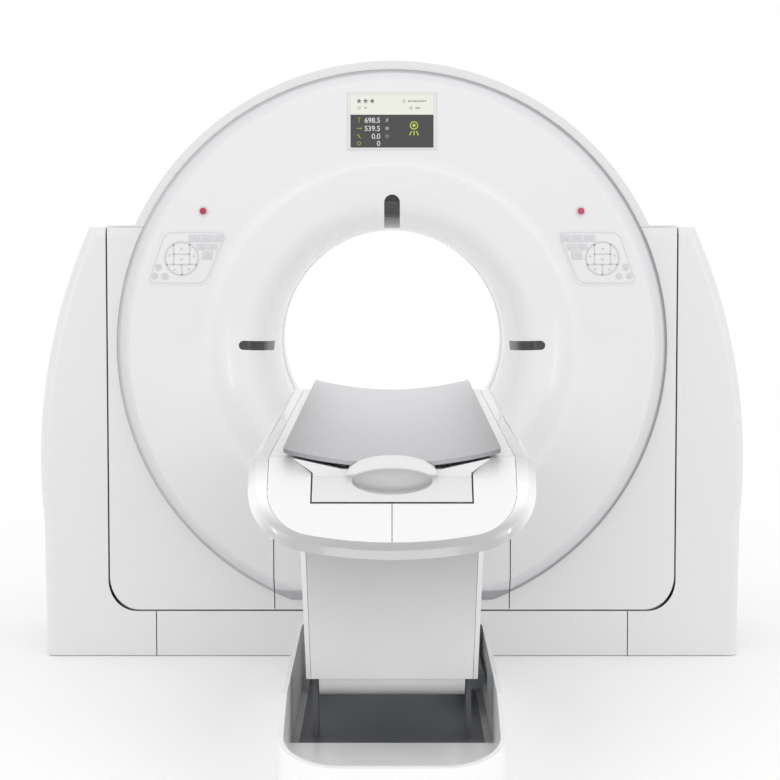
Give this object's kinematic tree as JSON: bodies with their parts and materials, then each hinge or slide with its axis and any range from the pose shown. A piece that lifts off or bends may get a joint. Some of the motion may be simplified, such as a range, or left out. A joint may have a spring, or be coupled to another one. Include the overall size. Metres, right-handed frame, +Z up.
{
  "type": "ct scanner",
  "caption": "Computed-tomography scanner: tilting round head with flared bore between two white columns, and a patient table with sliding cradle on a leaning lift leg.",
  "frame": {"origin": "on the floor under the middle of the gantry, at the centre of its anchor holes", "axes": "+X to the right seen from the patient table, +Y from the table into the bore, +Z up"},
  "size_m": [2.2108, 3.4, 1.865],
  "materials": {
    "cover_white": "satin white moulded cover",
    "disc_white": "gloss white moulded disc cover with a faint lilac rim",
    "tunnel_white": "gloss white tube",
    "scan_film": "clear polycarbonate strip",
    "table_white": "gloss white moulded cover",
    "rim_gloss": "gloss pale grey moulding",
    "leg_grey": "satin light grey painted sheet",
    "cradle_laminate": "smooth grey composite laminate",
    "frame_steel": "dark grey powder coat",
    "bearing_steel": "ground steel",
    "drum_aluminium": "machined",
    "motor_grey": "grey enamel",
    "tube_housing": "cream enamel",
    "slip_brass": "polished tracks",
    "black_rubber": "moulded rubber",
    "laser_glass": "dark tinted window",
    "laser_body": "black anodised",
    "bezel_white": "matt frame",
    "screen": "display glass",
    "panel_film": "printed membrane keypad",
    "stop_red": "red button",
    "collar_white": "white ring"
  },
  "bodies": {
    "stand": {"gantry_base_frame": "frame_steel", "levelling_feet": "black_rubber", "column_front_left": "cover_white", "column_front_right": "cover_white", "column_rear_left": "cover_white", "column_rear_right": "cover_white", "base_front_cover": "cover_white", "base_rear_cover": "cover_white", "trunnion_bearings": "bearing_steel", "tilt_gearmotor": "motor_grey", "table_base_frame": "frame_steel", "table_base_cover": "table_white", "lift_gearmotor": "motor_grey"},
    "head": {"tilt_frame": "frame_steel", "bearing_outer_race": "bearing_steel", "casing_tub": "cover_white", "casing_dome": "cover_white", "fascia_left": "cover_white", "fascia_right": "cover_white", "lower_centre_panel": "disc_white", "disc_cover": "disc_white", "rear_fascia": "cover_white", "rear_disc_cover": "disc_white", "bore_tunnel_front": "tunnel_white", "bore_tunnel_rear": "tunnel_white", "scan_window": "scan_film", "display_bezel": "bezel_white", "display_screen": "screen", "laser_window_top": "laser_glass", "laser_windows_side": "laser_glass", "laser_modules": "laser_body", "control_panel_left": "panel_film", "control_panel_right": "panel_film", "stop_collars": "collar_white", "rotor_motor": "motor_grey"},
    "rotor": {"rotor_drum": "drum_aluminium", "bearing_inner_race": "bearing_steel", "slip_ring": "slip_brass", "xray_tube": "tube_housing", "collimator": "tube_housing", "hv_generator": "tube_housing", "detector_arc": "drum_aluminium"},
    "drive_wheel": {"drive_wheel": "black_rubber"},
    "stop_left": {"stop_button_left": "stop_red"},
    "stop_right": {"stop_button_right": "stop_red"},
    "front_arm": {"front_arm": "frame_steel", "leg_toe": "table_white", "leg_front_panel": "leg_grey", "leg_rear_cover": "leg_grey"},
    "rear_arm": {"rear_arm": "frame_steel"},
    "table": {"table_frame": "frame_steel", "guide_rails": "bearing_steel", "table_well": "table_white", "table_rim": "rim_gloss", "table_cover_left": "table_white", "table_cover_right": "table_white", "table_underside": "table_white"},
    "cradle": {"cradle_shell": "cradle_laminate", "cradle_end_cap": "table_white", "cradle_carriage": "frame_steel"}
  },
  "joints": [
    {"name": "gantry_tilt", "type": "hinge", "parent": "stand", "child": "head", "pos_m": [0, 0, 0.979], "axis": [1, 0, 0], "range_deg": [-30, 30]},
    {"name": "rotor_spin", "type": "hinge", "parent": "head", "child": "rotor", "pos_m": [0, 0, 0.979], "axis": [0, 1, 0], "continuous": true},
    {"name": "drive_wheel_spin", "type": "hinge", "parent": "head", "child": "drive_wheel", "pos_m": [0.4879, 0, 1.4669], "axis": [0, 1, 0], "continuous": true},
    {"name": "stop_left_press", "type": "slide", "parent": "head", "child": "stop_left", "axis": [0, 1, 0], "range_m": [0, 0.004], "stiffness_N_per_m": 1500, "springref_m": -0.001},
    {"name": "stop_right_press", "type": "slide", "parent": "head", "child": "stop_right", "axis": [0, 1, 0], "range_m": [0, 0.004], "stiffness_N_per_m": 1500, "springref_m": -0.001},
    {"name": "table_lift", "type": "hinge", "parent": "stand", "child": "front_arm", "pos_m": [0, -1.645, 0.214], "axis": [1, 0, 0], "range_deg": [0, 50]},
    {"name": "rear_arm_swing", "type": "hinge", "parent": "stand", "child": "rear_arm", "pos_m": [0, -0.965, 0.214], "axis": [1, 0, 0], "range_deg": [0, 50]},
    {"name": "table_level", "type": "hinge", "parent": "front_arm", "child": "table", "pos_m": [0, -1.905, 0.66433], "axis": [1, 0, 0], "range_deg": [-50, 0]},
    {"name": "cradle_slide", "type": "slide", "parent": "table", "child": "cradle", "axis": [0, -1, 0], "range_m": [-1.7, 0]}
  ],
  "couplings": [
    {"joint": "drive_wheel_spin", "follows": "rotor_spin", "ratio": -10.475},
    {"joint": "rear_arm_swing", "follows": "table_lift", "ratio": 1},
    {"joint": "table_level", "follows": "table_lift", "ratio": -1}
  ]
}
